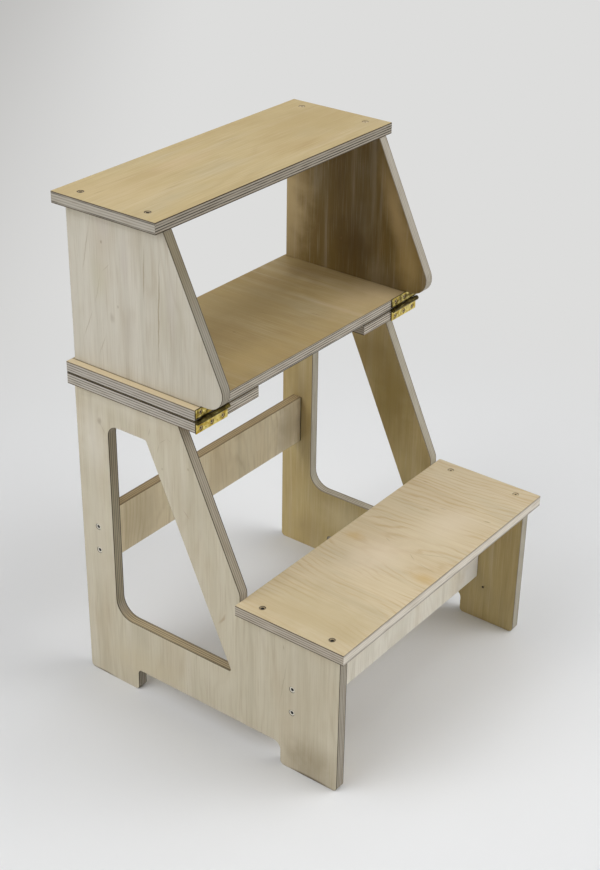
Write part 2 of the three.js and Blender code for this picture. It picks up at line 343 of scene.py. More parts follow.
@dataclass(frozen=True)
class Sheet:
    """Where a plywood board lies, and how its veneer runs."""

    low: Vector
    high: Vector
    thin: Axis
    grain: Axis

    COUNTERSINK_SHADE_REACH = 5.2

    @property
    def cross(self) -> Axis:
        """The direction across the grain, in the board's face."""
        return next(axis for axis in Axis if axis not in (self.thin, self.grain))

    @property
    def thickness(self) -> float:
        """The board's thickness in millimetres."""
        return (self.high[self.thin.value] - self.low[self.thin.value]) / MM

    def countersink_shade(self, screw: str) -> "Mark":
        """Draws painted shade: a dark ring in the countersink round a screw's head.

        Args:
            screw: The screw's node.

        Returns:
            The mark.
        """
        low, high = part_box(screw)
        offset = ((low + high) - (self.low + self.high)) / (2 * MM)
        is_high = abs(high[self.thin.value] - self.high[self.thin.value]) < MM
        along, across = offset[self.grain.value], offset[self.cross.value]
        tone = paint(84, 70, 44)
        return Mark(along, across, self.COUNTERSINK_SHADE_REACH, self.COUNTERSINK_SHADE_REACH, 0.6, is_high, tone, soft=0.35)

    def place(self, recipe: Recipe) -> Place:
        """Gives a point's place on the board.

        Args:
            recipe: The material that reads it.

        Returns:
            The place.
        """
        metres = recipe.parts(recipe.coordinates.outputs["Object"])
        middle = (self.low + self.high) / 2

        def measured(axis: Axis, origin: float) -> Signal:
            """Counts millimetres along one axis from an origin in metres."""
            return (metres[axis.value] - origin) * (1 / MM)

        along = measured(self.grain, middle[self.grain.value])
        across = measured(self.cross, middle[self.cross.value])
        through = measured(self.thin, self.low[self.thin.value])
        sockets = {0: along, 1: across, 2: through}
        spot = recipe.node("ShaderNodeCombineXYZ", {}, sockets).outputs[0]
        return Place(recipe, spot, along, across, through * (1 / self.thickness))


@dataclass(frozen=True)
class Figure:
    """The growth rings that a veneer shows.

    A ring line is where height / spacing is a whole number. The height is
    steep * sqrt((across - heart)^2 + bow^2) + rise * along + sway * noise + ripple * finer noise.
    """

    heart: float = 0.0
    bow: float = 30.0
    steep: float = 0.6
    rise: float = 0.12
    sway: float = 26.0
    sway_size: tuple[float, float] = (260.0, 70.0)
    ripple: float = 2.2
    ripple_size: tuple[float, float] = (46.0, 16.0)
    spacing: float = 7.0
    depth: float = 0.3


@dataclass(frozen=True)
class Mark:
    """A knot, crack, stained spot, smudge or patch of painted light and shade on a board, in
    millimetres from its middle.
    """

    along: float
    across: float
    reach_along: float
    reach_across: float
    depth: float
    on_high: bool
    tone: Colour
    lean: float = 0.0
    ragged: float = 0.0
    soft: float = 0.6


BROWN = paint(124, 98, 62)
FAINT = paint(158, 142, 112)
ORANGE = paint(196, 160, 92)


def streak(
    start: Spot, end: Spot, width: float, depth: float, high: bool = False, tone: Colour = FAINT
) -> Mark:
    """Draws a thin line between two places on a face.

    Args:
        start: Millimetres along and across the grain from the board's middle.
        end: The other end of the line, in the same measure.
        width: Half the line's width.
        depth: How strongly it shows.
        high: Whether it lies on the high face.
        tone: Its colour.

    Returns:
        The mark.
    """
    along, across = (start[0] + end[0]) / 2, (start[1] + end[1]) / 2
    run = end[0] - start[0]
    lean, reach = (end[1] - start[1]) / run, abs(run) / 2 + width
    return Mark(along, across, reach, width, depth, high, tone, lean, width * 1.5, 0.9)


def knot(place: Spot, reach: float, depth: float, high: bool = False, tone: Colour = BROWN) -> Mark:
    """Draws a small ragged knot.

    Args:
        place: Millimetres along and across the grain from the board's middle.
        reach: Half its width.
        depth: How strongly it shows.
        high: Whether it lies on the high face.
        tone: Its colour.

    Returns:
        The mark.
    """
    return Mark(place[0], place[1], reach * 1.5, reach, depth, high, tone, 0.0, reach * 0.5, 0.9)


def patch(place: Spot, reach: Spot, depth: float, tone: Colour, high: bool = False) -> Mark:
    """Draws a soft patch; most are painted light and shade, a few the wood's own tone.

    Args:
        place: Millimetres along and across the grain from the board's middle.
        reach: How far it spreads along and across the grain.
        depth: How strongly it shows.
        tone: Its colour.
        high: Whether it lies on the high face.

    Returns:
        The mark.
    """
    return Mark(place[0], place[1], reach[0], reach[1], depth, high, tone, 0.0, reach[1] * 0.3, 1.0)


@dataclass(frozen=True)
class PlyFinish:
    """Birch plywood: a veneer with its figure on each face, and nine layers at the edges."""

    low_face: Colour = paint(198, 180, 143)
    high_face: Colour = paint(198, 180, 143)
    line: Colour = paint(150, 122, 78)
    warm: Colour = paint(204, 172, 116)
    grey: Colour = paint(178, 168, 142)
    warm_share: float = 0.35
    figure: Figure = Figure()
    dark_fibre: float = 0.36
    pale_fibre: float = 0.24
    streaks: float = 0.25
    fleck: float = 0.35
    flank: Colour = paint(176, 164, 144)
    end: Colour = paint(180, 172, 160)
    dark: Colour = paint(66, 54, 38)
    flank_lines: float = 0.8
    end_lines: float = 0.45
    low_rim: Colour = paint(96, 80, 58)
    high_rim: Colour = paint(96, 80, 58)
    rims: float = 0.45
    flank_core: float = 0.5
    end_core: float = 0.4
    rim_width: float = 0.13
    wander: float = 0.35
    marks: tuple[Mark, ...] = ()
    edge_shades: tuple[Mark, ...] = ()
    seed: float = 1.0

    LAYERS = 9
    CLOUDS = (150, 60, 12)
    BANDS = (420, 17, 6)
    FIBRES = (60, 1.6, 4)
    SPECKS = (7, 0.9, 3)
    RING_GAPS = (70, 34, 20)
    DRIFT = (80, 80, 9)
    STROKES = (36, 36, 1.9)
    BLOOM = (30, 30, 2.6)
    RAGS = (22, 22, 50)
    PALE_BAND = paint(232, 226, 214)
    PALE_FIBRE = paint(236, 226, 206)
    BLOOM_TONE = paint(138, 122, 96)

    def rings(self, place: Place) -> Signal:
        """Draws the ring lines.

        Args:
            place: The place on the board.

        Returns:
            1 on a ring line and 0 between the lines, fading in and out along them.
        """
        figure, noise, spot = self.figure, place.recipe.noise, place.spot
        aside = place.across - figure.heart
        bowl = (aside * aside + figure.bow**2).root() * figure.steep
        sway = noise(spot, (*figure.sway_size, 16.0), self.seed, 1.5) * figure.sway
        ripple = noise(spot, (*figure.ripple_size, 9.0), self.seed + 4.1, 2.5) * figure.ripple
        height = bowl + place.along * figure.rise + sway + ripple
        wave = (height * (2 * math.pi / figure.spacing)).sine() * 0.5 + 0.5
        parts = noise(spot, self.RING_GAPS, self.seed + 8.3)
        return wave**4 * place.recipe.ease(parts, -0.5, 0.5, 0.1, 1.0)

    def face(self, place: Place) -> tuple[bpy.types.NodeSocket, Signal]:
        """Colours the veneers.

        Args:
            place: The place on the board.

        Returns:
            The colour's socket, and the relief of the wood as a signal.
        """
        recipe, spot = place.recipe, place.spot
        upper = recipe.ease(place.share, 0.4, 0.6)
        colour = recipe.blend(upper, self.low_face, self.high_face)
        clouds = recipe.noise(spot, self.CLOUDS, self.seed + 2.6, 3)
        warmth = recipe.ease(clouds, -0.1, 1.0) * self.warm_share
        colour = recipe.blend(warmth, colour, self.warm, "MULTIPLY")
        colour = recipe.blend(recipe.ease(clouds, 0.05, -0.9) * 0.5, colour, self.grey)
        rings = self.rings(place)
        colour = recipe.blend(rings * self.figure.depth, colour, self.line)
        bands = recipe.noise(spot, self.BANDS, self.seed + 7.7, 3)
        grey = recipe.ease(bands, 0.0, 0.8) * self.streaks
        colour = recipe.blend(grey, colour, self.grey, "MULTIPLY")
        colour = recipe.blend(recipe.ease(bands, 0.0, -0.8) * self.streaks, colour, self.PALE_BAND)
        fibre = recipe.noise(spot, self.FIBRES, self.seed + 6.4, 3)
        dark, pale = recipe.ease(fibre, -0.1, 1.1), recipe.ease(fibre, 0.1, -1.1)
        colour = recipe.blend(dark * self.dark_fibre, colour, self.line)
        colour = recipe.blend(pale * self.pale_fibre, colour, self.PALE_FIBRE)
        specks = recipe.noise(spot, self.SPECKS, self.seed + 9.9, 1)
        colour = recipe.blend(recipe.ease(specks, 0.62, 0.95) * self.fleck, colour, self.line)
        relief = 0.5 - rings * 0.25 + fibre * 0.3 - recipe.ease(specks, 0.5, 0.9) * 0.3
        for mark in self.marks:
            colour = self.marked(place, colour, upper, mark)
        return colour, relief

    def marked(
        self, place: Place, colour: bpy.types.NodeSocket, upper: Number, mark: Mark
    ) -> bpy.types.NodeSocket:
        """Lays one mark over a face's colour, fading out with the distance from its middle.

        Args:
            place: The place on the board.
            colour: The colour so far.
            upper: 1 on the board's high face and 0 on its low one.
            mark: The mark.

        Returns:
            The colour with the mark on it.
        """
        recipe = place.recipe
        along = place.along - mark.along
        across = place.across - mark.across - along * mark.lean
        if mark.ragged > 0:
            rags = recipe.noise(place.spot, self.RAGS, self.seed + mark.along, 3)
            across = across + rags * mark.ragged
        far = ((along / mark.reach_along) ** 2 + (across / mark.reach_across) ** 2).root()
        here = recipe.ease(far, 1.0, 1.0 - mark.soft) * mark.depth
        side = upper if mark.on_high else 1 - upper
        return recipe.blend(here * side, colour, mark.tone)

    def edge(self, place: Place, end: Signal) -> tuple[bpy.types.NodeSocket, Signal]:
        """Colours the sawn edges, where the layers show end grain and long grain in turn.

        Args:
            place: The place on the board.
            end: 1 on an edge that crosses the face grain and 0 on one along it.

        Returns:
            The colour's socket, and the relief of the edge as a signal.
        """
        recipe, spot, share = place.recipe, place.spot, place.share
        drift = recipe.noise(spot, self.DRIFT, self.seed + 1.3) * self.wander
        wave = (share * (self.LAYERS * math.pi) + drift).sine()
        depth = (share - 0.5).size()
        flank = recipe.ease(wave, -0.1, 0.75) * recipe.ease(depth, 0.2, 0.34, self.flank_core, 1.0)
        butt = recipe.ease(wave, 0.1, -0.75) * recipe.ease(depth, 0.2, 0.34, self.end_core, 1.0)
        lines = flank * (1 - end) * self.flank_lines + butt * end * self.end_lines
        strokes = recipe.noise(spot, self.STROKES, self.seed + 5.9, 3)
        drawn = lines * recipe.ease(strokes, -0.7, 0.4, 0.35, 1.0)
        bloom = recipe.noise(spot, self.BLOOM, self.seed + 7.1, 3)
        plain = recipe.blend(end, self.flank, self.end)
        # Bands of painted shade on the edges.
        for edge_shade in self.edge_shades:
            plain = self.marked(place, plain, 0.0, edge_shade)
        plain = recipe.blend(recipe.ease(bloom, -0.2, 0.9) * 0.4, plain, self.BLOOM_TONE)
        colour = recipe.blend(drawn, plain, self.dark)
        for rim, depth in ((self.low_rim, share), (self.high_rim, 1 - share)):
            here = recipe.ease(depth, self.rim_width, self.rim_width / 2) * self.rims
            colour = recipe.blend(here, colour, rim)
        return colour, 0.5 - drawn * 0.4 + strokes * 0.1

    def material(self, name: str, sheet: Sheet) -> bpy.types.Material:
        """Makes the finish for one board.

        Args:
            name: The material's name.
            sheet: Where the board lies.

        Returns:
            The material.
        """
        recipe = Recipe(name)
        place = sheet.place(recipe)
        normal = recipe.parts(recipe.coordinates.outputs["Normal"])
        lengthwise, upright = (normal[axis.value].size() for axis in (sheet.grain, sheet.thin))
        skin = recipe.ease(upright, 0.86, 0.98)
        face, relief = self.face(place)
        edge, ridges = self.edge(place, lengthwise * lengthwise)
        colour = recipe.blend(skin, edge, face)
        sockets = {
            "Base Color": colour,
            "Roughness": 0.74 - skin * 0.16 + relief * 0.06,
            "Normal": recipe.bump(relief * skin + ridges * (1 - skin), 0.35, 0.0003),
            "Specular IOR Level": 0.35,
        }
        return recipe.plain(sockets)


# The finish of each board. Marks are measured from its middle, and colours are as a screen shows.
# Painted shade for the seams and gaps where boards meet.
SEAM_SHADE = paint(16, 13, 9)

# The side frames, whose grain stands upright; the left one has its own knots, dirt with painted
# contact shade at its feet, and painted shade on its edges towards the rear. On both, the soft
# patches on the faces are painted light and shade.
UPRIGHT_RINGS = Figure(heart=40, bow=24, steep=0.5, rise=0.02, sway=20, spacing=8, depth=0.14)

LEFT_SIDE_FRAME = PlyFinish(
    low_face=paint(206, 197, 174),
    high_face=paint(190, 171, 124),
    figure=UPRIGHT_RINGS,
    flank=paint(171, 163, 148),
    flank_core=0.7,
    flank_lines=0.9,
    end=paint(182, 166, 134),
    end_lines=0.8,
    end_core=0.9,
    rims=0.8,
    low_rim=paint(76, 66, 48),
    high_rim=paint(54, 46, 34),
    # A band of painted shade on the edges towards the rear.
    edge_shades=(Mark(31, 164, 190, 16, 1, False, paint(163, 154, 131), soft=0.2),),
    marks=(
        # Soft patches of painted light and shade on the outer face.
        patch((213, 124), (26, 120), 0.5, paint(224, 217, 199)),
        patch((25, 184), (150, 34), 0.45, paint(218, 211, 192)),
        patch((107, 11), (70, 46), 0.35, paint(190, 180, 156)),
        patch((-176, 110), (46, 96), 0.5, paint(206, 192, 160)),
        patch((148, 182), (80, 36), 0.6, paint(229, 223, 209)),
        patch((-110, -150), (130, 70), 0.4, paint(188, 175, 148)),
        knot((176.8, 170), 5, 0.4),
        streak((176.8, 170), (156.8, 157.6), 1.2, 0.4),
        knot((159.6, 23.7), 2, 0.4),
        knot((145.1, 66.1), 1.8, 0.35),
        streak((196.5, 83.6), (182.6, 87.5), 0.9, 0.5),
        streak((164.5, 72.9), (179.1, 69.7), 0.8, 0.5),
        streak((179.1, 69.7), (190.5, 56.9), 0.8, 0.5),
        streak((190.5, 56.9), (187.4, 50), 0.8, 0.5),
        streak((99.9, 35.1), (87, 22.5), 1.3, 0.5, tone=paint(164, 134, 112)),
        streak((-48.3, -23.5), (-27.7, -33.5), 2.6, 0.5, tone=paint(160, 132, 96)),
        streak((-33, -124), (-42, -125.2), 0.8, 0.5, tone=BROWN),
        streak((-40.1, -132.8), (-140.8, -116.6), 0.9, 0.4),
        # Dirt at the front foot, and along the bottom of both feet a dark band of dirt and painted
        # contact shade.
        patch((-198, -172), (56, 62), 0.6, paint(142, 125, 94)),
        Mark(-221.3, -170, 5, 46, 0.85, False, paint(78, 66, 48), soft=0.8),
        Mark(-221.3, 186, 3.6, 32, 0.7, False, paint(78, 66, 48), soft=0.8),
    ),
    seed=3.1,
)

RIGHT_SIDE_FRAME = PlyFinish(
    low_face=paint(198, 178, 125),
    high_face=paint(206, 198, 178),
    figure=UPRIGHT_RINGS,
    flank=paint(182, 176, 160),
    end=paint(188, 180, 162),
    end_lines=0.7,
    end_core=0.9,
    rims=0.7,
    marks=(
        # Patches of painted shade on the inner face, darkest high up under the shelf, and one of
        # painted light low down.
        patch((90, 14), (120, 60), 0.8, paint(163, 140, 76)),
        patch((150, 51), (60, 60), 0.7, paint(164, 141, 84)),
        patch((50, 178), (90, 34), 0.6, paint(166, 145, 98)),
        patch((-147, 98), (44, 56), 0.7, paint(228, 212, 168)),
        patch((-190, 158), (40, 36), 0.5, paint(170, 148, 104)),
    ),
    seed=7.4,
)

# The lower tread has loops in its figure near the middle.
LOWER_TREAD = PlyFinish(
    low_face=paint(196, 178, 140),
    high_face=paint(209, 193, 161),
    line=paint(178, 144, 90),
    figure=Figure(
        heart=-6,
        bow=46,
        steep=0.62,
        rise=0.08,
        sway=13,
        sway_size=(220.0, 80.0),
        ripple=2.2,
        ripple_size=(34.0, 12.0),
        spacing=5.4,
        depth=0.46,
    ),
    streaks=0.18,
    flank=paint(190, 180, 164),
    end=paint(224, 216, 202),
    flank_core=0.75,
    end_core=0.35,
    rims=0.7,
    low_rim=paint(86, 74, 54),
    high_rim=paint(92, 78, 56),
    marks=(
        patch((60.2, -11), (22, 17), 0.5, ORANGE, True),
        patch((-67.7, -38.1), (26, 18), 0.5, ORANGE, True),
        # Painted shade towards the left end, painted light over the middle.
        patch((0, -190), (150, 96), 0.7, paint(188, 172, 135), True),
        patch((10, -30), (60, 80), 0.7, paint(224, 208, 182), True),
        patch((-20, 60), (70, 110), 0.4, paint(226, 211, 181), True),
        patch((-60, -190), (50, 60), 0.4, paint(179, 162, 124), True),
        patch((-23, 95), (46, 56), 0.4, paint(221, 206, 182), True),
        streak((25.4, 12.6), (13.9, 6.4), 1, 0.5, True),
        streak((-20.3, 0.2), (-74.9, 25.7), 1, 0.55, True),
        streak((-20.3, 0.2), (-35.6, -11.5), 1, 0.55, True),
        streak((-35.6, -11.5), (-77.9, -20.3), 1, 0.5, True),
        streak((-54, 127.4), (-66, 128.4), 1.4, 0.6, True, BROWN),
        streak((12, 118.2), (-2, 119), 1, 0.5, True, BROWN),
        streak((28, 103), (14, 104), 0.9, 0.5, True, BROWN),
        streak((68, 163.7), (58, 164), 1, 0.5, True, BROWN),
    ),
    seed=11.7,
)

# The cross rails' grain stands upright. The rear one has painted shade in the gap at its joint with
# the right frame, and patches of painted shade on its face.
REAR_RAIL = PlyFinish(
    low_face=paint(220, 207, 176),
    high_face=paint(190, 178, 150),
    end=paint(184, 164, 128),
    end_lines=0.6,
    end_core=0.9,
    low_rim=paint(86, 68, 44),
    rims=0.7,
    marks=(
        # Patches of painted shade, deepest next to the right frame, and painted shade in the gap at
        # that joint.
        patch((0, -150), (90, 70), 0.6, paint(178, 163, 132)),
        patch((0, 20), (60, 50), 0.6, paint(194, 178, 146)),
        patch((0, 176), (90, 48), 0.75, paint(156, 140, 110)),
        Mark(0, 206.4, 900, 2.4, 1, False, SEAM_SHADE, soft=0.4),
    ),
    seed=15.2,
)

FRONT_RAIL = PlyFinish(
    # The front face is painted light: nearly white, and whitest towards the right end.
    low_face=paint(232, 227, 213),
    high_face=paint(188, 180, 160),
    figure=Figure(depth=0.1),
    marks=(patch((0, 200), (90, 60), 1, paint(250, 248, 242)),),
    seed=17.9,
)

# The two cleats are alike but for their seeds.
CLEAT = PlyFinish(
    flank=paint(190, 183, 171),
    end=paint(192, 184, 170),
    dark=paint(48, 39, 26),
    flank_core=0.8,
    end_lines=0.95,
    end_core=1.0,
    # The upper edges are black: painted shade in the seam under the shelf.
    high_rim=SEAM_SHADE,
    rims=1.0,
    rim_width=0.1,
    seed=21.3,
)

# The upper sides, each with the lines and knots that show; the left one's edges and the right one's
# inner face are painted shade.
WIDE_RINGS = Figure(heart=60, bow=30, steep=0.4, rise=0.03, sway=26, spacing=11, depth=0.16)
BOX_OUTSIDE = paint(208, 202, 187)

LEFT_UPPER_SIDE = PlyFinish(
    low_face=BOX_OUTSIDE,
    high_face=paint(180, 161, 118),
    figure=WIDE_RINGS,
    # The edges are painted shade: dark, and darker towards the bottom.
    flank=paint(127, 117, 90),
    edge_shades=(Mark(-100, 0, 170, 4000, 1, False, paint(160, 154, 140), soft=0.53),),
    flank_lines=0.9,
    rims=0.7,
    low_rim=paint(78, 70, 54),
    high_rim=paint(84, 74, 56),
    marks=(
        streak((98.5, 79), (8.4, 99.3), 1.3, 0.5),
        streak((42.7, 50.3), (27.8, 65.8), 0.9, 0.5),
        streak((27.8, 65.8), (-21.7, 80.6), 1, 0.5),
        streak((-21.7, 80.6), (-73.5, 102.7), 1, 0.5),
        streak((-49, 60.9), (-87.3, 76.7), 1, 0.45),
        patch((88, 60), (34, 16), 0.45, paint(203, 194, 184)),
        patch((52, 27), (56, 11), 0.45, paint(203, 194, 184)),
        patch((-34, 24), (64, 13), 0.45, paint(190, 181, 166)),
        patch((4, -44), (80, 12), 0.45, paint(203, 195, 184)),
        patch((18, 72), (44, 20), 0.4, paint(194, 188, 160)),
        streak((85.1, -5), (-3.6, -0.8), 1.1, 0.8),
        streak((91, -28), (-98.5, -20.4), 1.5, 0.85),
        streak((26, -42.6), (-82.8, -40.2), 1.2, 0.35),
        knot((66.6, 63.5), 2.2, 0.5),
        knot((-10.3, 40.7), 2, 0.35),
        knot((-27.7, 51.4), 6, 0.25),
    ),
    seed=31.4,
)

RIGHT_UPPER_SIDE = PlyFinish(
    # The inner face is painted shade, dark brown.
    low_face=paint(115, 94, 46),
    high_face=BOX_OUTSIDE,
    figure=WIDE_RINGS,
    flank=paint(178, 171, 157),
    end=paint(186, 178, 166),
    marks=(
        # Patches of painted light towards the edges and deeper painted shade in the middle of the
        # inner face.
        patch((0, 118), (190, 60), 0.85, paint(190, 168, 124)),
        Mark(5, -66, 95, 24, 0.9, False, paint(178, 153, 106), 0.345, 5, 1),
        patch((-66, -92), (60, 34), 0.6, paint(184, 158, 104)),
        patch((-50, 0), (80, 56), 0.6, paint(82, 60, 24)),
        patch((-96, -56), (40, 46), 0.3, paint(96, 76, 40)),
        streak((-2.1, 60.6), (-96.3, 74.2), 0.9, 0.6, tone=BROWN),
        streak((32.5, 54.7), (21, 54.4), 0.9, 0.6, tone=BROWN),
        knot((-51.6, 23.3), 2.4, 0.6),
    ),
    seed=37.7,
)

# The shelf has painted light on the strips outside the upper sides, and a line of painted shade where
# they meet it.
LIT_STRIP = paint(234, 216, 181)
CONTACT_SHADE = paint(96, 76, 48)
SHELF_ENDS = (
    Mark(0, -226.8, 900, 6.4, 0.85, True, LIT_STRIP, soft=0.1),
    Mark(0, 226.8, 900, 6.4, 0.85, True, LIT_STRIP, soft=0.1),
    Mark(0, -221.6, 900, 0.9, 0.7, True, CONTACT_SHADE),
    Mark(0, 221.6, 900, 0.9, 0.7, True, CONTACT_SHADE),
)

SHELF_BOARD = PlyFinish(
    low_face=paint(184, 164, 124),
    high_face=paint(174, 153, 107),
    figure=Figure(heart=-30, bow=60, steep=0.4, rise=0.15, sway=22, spacing=11, depth=0.2),
    flank=paint(186, 179, 168),
    end=paint(190, 183, 170),
    dark=paint(48, 39, 26),
    flank_core=0.75,
    end_lines=0.95,
    end_core=0.9,
    # The lower edges are black: painted shade in the seam over the cleats.
    low_rim=SEAM_SHADE,
    high_rim=paint(120, 106, 82),
    rims=1.0,
    rim_width=0.1,
    marks=(
        # Painted shadow of the top board towards the back, and painted light towards the front.
        patch((88, 0), (110, 330), 0.5, paint(150, 129, 81), True),
        patch((-92, 0), (70, 330), 0.36, paint(194, 169, 119), True),
        patch((26, 50), (74, 150), 0.55, paint(140, 121, 79), True),
        patch((30, -70), (60, 90), 0.5, paint(148, 128, 87), True),
        patch((50, 186), (60, 50), 0.5, paint(122, 101, 63), True),
        patch((-64, -90), (44, 90), 0.5, paint(200, 175, 121), True),
        patch((-74, 158), (80, 110), 0.6, paint(206, 184, 143), True),
        patch((-78, 190), (64, 40), 0.5, paint(224, 203, 163), True),
        patch((82, 158), (34, 40), 0.5, paint(184, 163, 119), True),
        *SHELF_ENDS,
        knot((-3.8, -37.3), 2, 0.5, True),
        streak((20, 30), (-14, 36), 1.2, 0.4, True, BROWN),
        streak((-40, 70), (-66, 74), 1.2, 0.4, True, BROWN),
    ),
    seed=41.2,
)

# The top board is worn smooth and has few lines.
TOP_BOARD = PlyFinish(
    low_face=paint(188, 170, 130),
    high_face=paint(187, 168, 125),
    figure=Figure(heart=10, bow=50, steep=0.5, rise=0.05, sway=20, spacing=10, depth=0.16),
    streaks=0.12,
    flank=paint(163, 155, 141),
    flank_core=1.0,
    end=paint(184, 177, 164),
    dark=paint(40, 32, 20),
    flank_lines=1.0,
    end_lines=0.8,
    rims=0.85,
    low_rim=paint(70, 58, 38),
    high_rim=paint(70, 56, 34),
    marks=(
        # Painted light towards the left end and painted shade towards the right.
        patch((-60, 30), (90, 26), 0.3, paint(202, 176, 142), True),
        patch((176, 0), (160, 120), 0.65, paint(174, 153, 108), True),
        patch((-190, 20), (90, 110), 0.4, paint(202, 183, 144), True),
        streak((-214, 36), (-188, 33), 1.2, 0.35, True, BROWN),
        streak((-150, -18), (-118, -22), 1, 0.3, True, BROWN),
        streak((20, 40), (62, 36), 1, 0.3, True, BROWN),
    ),
    seed=47.5,
)


@dataclass(frozen=True)
class BrassFinish:
    """Plated sheet brass, bright on the open faces, with the barrel painted dark as a reflection and
    shade, and painted shade on the edges, round the screws and on the upper leaf.
    """

    bright: Colour = paint(248, 232, 146)
    gold: Colour = paint(206, 176, 66)
    olive: Colour = paint(104, 88, 36)
    dark: Colour = paint(44, 36, 16)
    axis_height: float = 458.25
    barrel_rise: float = 0.7
    barrel: float = 2.8
    barrel_dark_reach: float = 4.2
    head: float = 2.8
    head_shade_reach: float = 3.7
    shade_depth: float = 0.85

    CLOUDS = (5, 9, 5)
    SHADE_MOTTLE = (8, 9, 6)
    BRUSHED = (16, 0.9, 0.6)

    def countersinks(
        self, recipe: Recipe, spot: bpy.types.NodeSocket, screws: tuple[str, ...]
    ) -> Signal:
        """Draws painted shade round the screws' heads; both hinges are alike, so the left one serves
        for both.

        Args:
            recipe: The material.
            spot: The place in millimetres as a vector.
            screws: The nodes of one hinge's screws.

        Returns:
            1 at the rim of a screw's head, and 0 from a little way outside it.
        """
        x, _, height = recipe.parts(spot)
        aside = x.size()
        rings = []
        for screw in screws:
            low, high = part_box(screw)
            middle = (low + high) / 2 / MM
            gap = ((aside - abs(middle.x)) ** 2 + (height - middle.z) ** 2).root()
            rings.append(recipe.ease(gap, self.head_shade_reach, self.head))
        return reduce(Signal.most, rings)

    def material(self, name: str, screws: tuple[str, ...]) -> bpy.types.Material:
        """Makes the finish.

        Args:
            name: The material's name.
            screws: The nodes of one hinge's screws.

        Returns:
            The material.
        """
        recipe = Recipe(name)
        spot = recipe.millimetres()
        clouds = recipe.noise(spot, self.CLOUDS, 2, 3)
        painted_shade = recipe.noise(spot, self.SHADE_MOTTLE, 8)
        brushed = recipe.noise(spot, self.BRUSHED, 5)
        above = recipe.parts(spot)[2] - self.axis_height
        # The barrel is painted dark, a painted reflection and shade, with streaks along it.
        gap = (above - self.barrel_rise).size()
        round_barrel = recipe.ease(gap, self.barrel_dark_reach, self.barrel)
        barrel = round_barrel * recipe.ease(brushed, 0.9, -0.3, 0.4, 0.94)
        # Painted shade on the edges of the leaves.
        facing = recipe.parts(recipe.coordinates.outputs["Normal"])[1].size()
        rim = recipe.ease(facing, 0.8, 0.4) * self.shade_depth
        colour = recipe.blend(recipe.ease(clouds, -0.4, 0.5), self.bright, self.gold)
        # Olive mottling, with painted shade above the axis on the upper leaf.
        olive_mottle_and_shade = recipe.ease(painted_shade, -0.5, 0.4) * recipe.ease(above, -2.0, 3.0, 0.25, 0.95)
        colour = recipe.blend(olive_mottle_and_shade, colour, self.olive)
        # Painted shade round the screw heads.
        sunk = self.countersinks(recipe, spot, screws) * self.shade_depth
        colour = recipe.blend(barrel.most(rim).most(sunk), colour, self.dark)
        sockets = {
            "Base Color": colour,
            "Metallic": 1.0,
            "Roughness": 0.34 + recipe.ease(clouds, -0.5, 0.8) * 0.16 + brushed * 0.04,
            "Normal": recipe.bump(brushed + clouds, 0.2, 0.0001),
        }
        return recipe.plain(sockets)


@dataclass(frozen=True)
class ZincFinish:
    """Zinc plate on a screw, with painted shade in the driver's recess and, on some screws, in a ring
    at the head's rim.
    """

    bright: Colour = paint(246, 241, 228)
    worn: Colour = paint(214, 206, 190)
    dark: Colour = paint(12, 10, 8)
    metallic: float = 0.3
    attribute: str = "recess"

    CLOUDS = (2.2, 2.2, 2.2)

    def material(self, name: str) -> bpy.types.Material:
        """Makes the finish.

        Args:
            name: The material's name.

        Returns:
            The material.
        """
        recipe = Recipe(name)
        sunk = recipe.node("ShaderNodeAttribute", {"attribute_name": self.attribute})
        depth = Signal(recipe, sunk.outputs["Fac"])
        spot = recipe.millimetres()
        clouds = recipe.noise(spot, self.CLOUDS, 3, 3)
        # Painted shade in the recess and in the ring at the head's rim.
        shade = recipe.ease(depth, 0.05, 0.5)
        colour = recipe.blend(recipe.ease(clouds, 0.0, 1.0) * 0.5, self.bright, self.worn)
        colour = recipe.blend(shade, colour, self.dark)
        sockets = {
            "Base Color": colour,
            "Metallic": (1 - shade) * self.metallic,
            "Roughness": 0.3 + recipe.ease(clouds, -0.5, 0.8) * 0.2,
            "Normal": recipe.bump(clouds, 0.2, 0.0001),
        }
        return recipe.plain(sockets)


FLAT = math.radians(0.1)
BOARD_CORNER = math.radians(28)
EASED_CORNER = math.radians(32)
TURNED_CORNER = math.radians(40)


def new_object(name: str, mesh: bpy.types.Mesh, material: bpy.types.Material) -> bpy.types.Object:
    """Links a mesh into the scene as an object.

    Args:
        name: The object's name.
        mesh: Its mesh.
        material: Its one material.

    Returns:
        The object.
    """
    mesh.materials.clear()
    mesh.materials.append(material)
    made = bpy.data.objects.new(name, mesh)
    bpy.context.scene.collection.objects.link(made)
    return made


def whole_mesh(name: str, source: bpy.types.Mesh) -> bpy.types.Mesh:
    """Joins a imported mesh's loose triangles, and its flat neighbours into whole faces.

    Args:
        name: The new mesh's name.
        source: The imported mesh, which isn't changed.

    Returns:
        A closed mesh, smooth over its arcs and sharp at its corners.
    """
    corners = np.empty(len(source.vertices) * 3)
    source.vertices.foreach_get("co", corners)
    order = np.empty(len(source.loops), dtype=np.int64)
    source.loops.foreach_get("vertex_index", order)
    points, place = np.unique(np.round(corners.reshape(-1, 3), 6), axis=0, return_inverse=True)
    triangles = place.reshape(-1)[order].reshape(-1, 3)
    mesh = bpy.data.meshes.new(name)
    mesh.from_pydata(points, [], triangles)
    work = bmesh.new()
    work.from_mesh(mesh)
    bmesh.ops.dissolve_limit(work, angle_limit=FLAT, verts=work.verts, edges=work.edges)
    work.to_mesh(mesh)
    work.free()
    mesh.shade_smooth()
    mesh.set_sharp_from_angle(angle=BOARD_CORNER)
    return mesh


